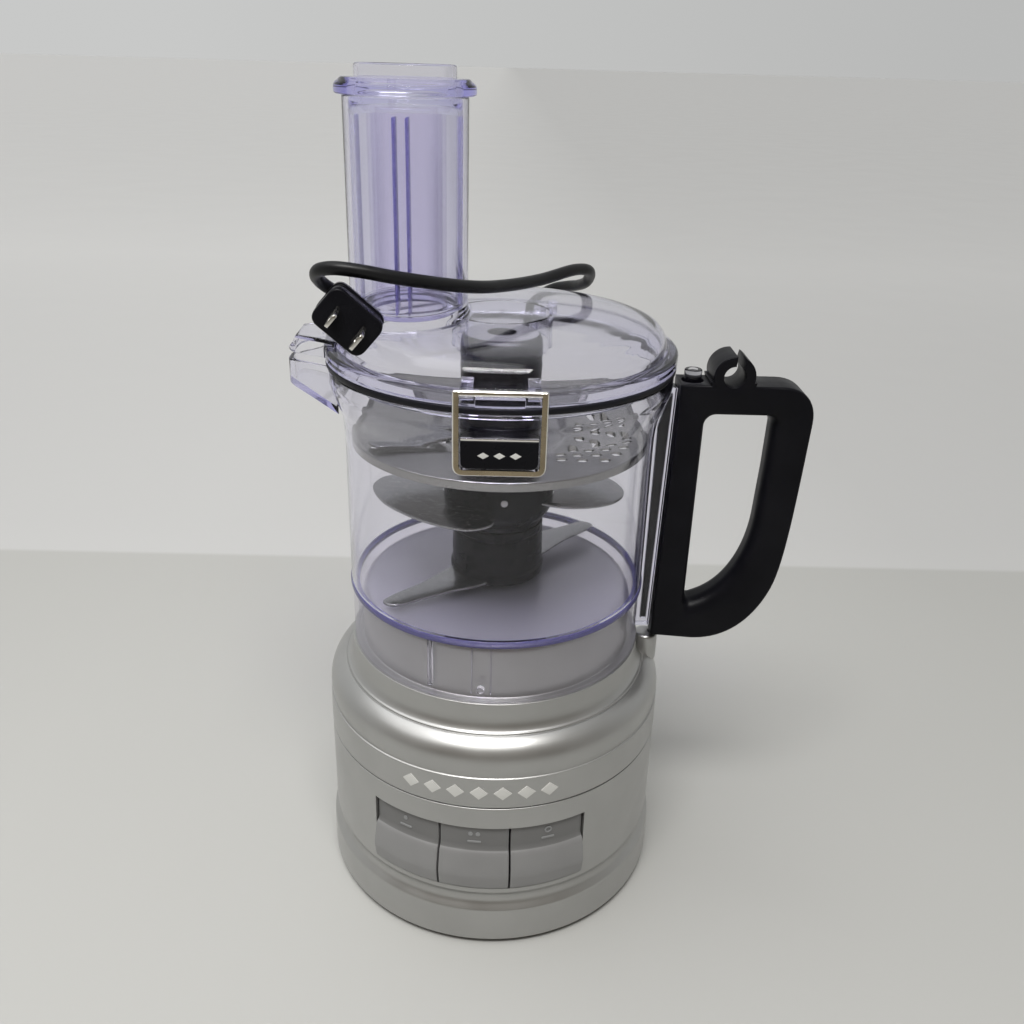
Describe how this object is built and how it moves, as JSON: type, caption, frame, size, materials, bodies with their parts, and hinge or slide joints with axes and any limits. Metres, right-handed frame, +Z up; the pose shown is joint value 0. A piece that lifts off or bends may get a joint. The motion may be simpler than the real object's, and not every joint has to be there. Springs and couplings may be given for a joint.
{
  "type": "food processor",
  "caption": "Food processor: round motor base with push buttons, clear lidded bowl with side handle, feed tube and pushers, tools on the spindle, lead and plug laid over the lid.",
  "frame": {"origin": "middle of the underside, on the drive axis, at the height of the surface that it stands on", "axes": "+Z up along the drive axis, +X towards the handle, -X towards the spout, -Y towards the latch and the buttons"},
  "size_m": [0.255, 0.2619, 0.417],
  "materials": {
    "metallic_housing": "satin metallic silver paint on plastic",
    "black_plastic": "fine satin black",
    "grey_button": "satin grey",
    "white_plastic": "plain",
    "clear_plastic": "clear, faint violet at the edges",
    "black_rubber": "matt",
    "fastener_steel": "zinc plated",
    "shaft_steel": "ground",
    "blade_steel": "polished stainless",
    "cast_alloy": "as cast",
    "bush_bronze": "sintered",
    "motor_windings": "varnished copper on steel laminations",
    "circuit_board": "green solder mask",
    "latch_chrome": "bright",
    "lead_jacket": "smooth",
    "plug_plastic": "moulded",
    "plug_metal": "nickel plated"
  },
  "bodies": {
    "base": {"base_body": "metallic_housing", "base_top_cover": "metallic_housing", "bottom_plate": "black_plastic", "foot_1": "black_rubber", "foot_2": "black_rubber", "foot_3": "black_rubber", "foot_4": "black_rubber", "base_screw_1": "fastener_steel", "base_screw_2": "fastener_steel", "base_screw_3": "fastener_steel", "chassis_plate": "cast_alloy", "spindle_bush_lower": "bush_bronze", "spindle_bush_upper": "bush_bronze", "spindle_seal": "black_rubber", "drive_belt": "black_rubber", "motor_stator": "motor_windings", "motor_end_cap": "cast_alloy", "switch_low": "black_plastic", "switch_high": "black_plastic", "switch_pulse": "black_plastic", "control_board": "circuit_board", "interlock_switch": "black_plastic", "lead_gland": "black_rubber", "lead_lower": "lead_jacket"},
    "drive": {"drive_spindle": "shaft_steel", "large_pulley": "black_plastic"},
    "motor": {"motor_rotor": "shaft_steel", "small_pulley": "black_plastic"},
    "key_low": {"button_low": "grey_button"},
    "key_high": {"button_high": "grey_button"},
    "key_pulse": {"button_pulse": "grey_button"},
    "bowl": {"bowl_shell": "clear_plastic", "hinge_pin_1": "fastener_steel", "hinge_pin_2": "fastener_steel", "handle": "black_plastic", "rod_spring": "fastener_steel"},
    "interlock": {"interlock_rod": "white_plastic", "interlock_button": "grey_button"},
    "lid": {"lid_shell": "clear_plastic", "lid_gasket": "black_rubber", "lead_upper": "lead_jacket", "plug_body": "plug_plastic", "plug_blade_1": "plug_metal", "plug_blade_2": "plug_metal"},
    "latch": {"latch_bail": "latch_chrome", "latch_badge": "black_plastic"},
    "feed_pusher": {"pusher": "clear_plastic"},
    "cup_pusher": {"small_pusher": "clear_plastic"},
    "tools": {"drive_adapter": "black_plastic", "lower_hub": "black_plastic", "upper_hub": "black_plastic", "upper_blade_1": "blade_steel", "upper_blade_2": "blade_steel", "lower_blade_1": "blade_steel", "lower_blade_2": "blade_steel", "slicing_disc": "blade_steel", "disc_hub": "black_plastic"}
  },
  "joints": [
    {"name": "drive_spin", "type": "hinge", "parent": "base", "child": "drive", "pos_m": [0, 0, 0.03], "axis": [0, 0, 1], "continuous": true},
    {"name": "motor_spin", "type": "hinge", "parent": "base", "child": "motor", "pos_m": [-0.0307, 0.0438, 0.03], "axis": [0, 0, 1], "continuous": true},
    {"name": "low_press", "type": "slide", "parent": "base", "child": "key_low", "axis": [0.4848, 0.8746, 0], "range_m": [0, 0.0016], "stiffness_N_per_m": 400, "springref_m": -0.002},
    {"name": "high_press", "type": "slide", "parent": "base", "child": "key_high", "axis": [0.0932, 0.9956, 0], "range_m": [0, 0.0016], "stiffness_N_per_m": 400, "springref_m": -0.002},
    {"name": "pulse_press", "type": "slide", "parent": "base", "child": "key_pulse", "axis": [-0.3206, 0.9472, 0], "range_m": [0, 0.0016], "stiffness_N_per_m": 400, "springref_m": -0.002},
    {"name": "bowl_lift", "type": "slide", "parent": "base", "child": "bowl", "axis": [0, 0, 1], "range_m": [0, 0.1]},
    {"name": "interlock_press", "type": "slide", "parent": "bowl", "child": "interlock", "axis": [0, 0, -1], "range_m": [0, 0.0025], "stiffness_N_per_m": 300, "springref_m": -0.003, "deforming": ["rod_spring"]},
    {"name": "lid_hinge", "type": "hinge", "parent": "bowl", "child": "lid", "pos_m": [0, 0.09, 0.2895], "axis": [-1, 0, 0], "range_deg": [0, 80], "deforming": ["lead_upper", "lead_lower"]},
    {"name": "latch_swing", "type": "hinge", "parent": "lid", "child": "latch", "pos_m": [0, -0.09, 0.2996], "axis": [-1, 0, 0], "range_deg": [0, 110]},
    {"name": "pusher_lift", "type": "slide", "parent": "lid", "child": "feed_pusher", "axis": [0, 0, 1], "range_m": [0, 0.09]},
    {"name": "cup_lift", "type": "slide", "parent": "feed_pusher", "child": "cup_pusher", "axis": [0, 0, 1], "range_m": [0, 0.085]},
    {"name": "tool_spin", "type": "hinge", "parent": "bowl", "child": "tools", "pos_m": [0, 0, 0.2], "axis": [0, 0, 1], "continuous": true}
  ],
  "couplings": [
    {"joint": "motor_spin", "follows": "drive_spin", "ratio": 4},
    {"joint": "tool_spin", "follows": "drive_spin", "ratio": 1}
  ]
}
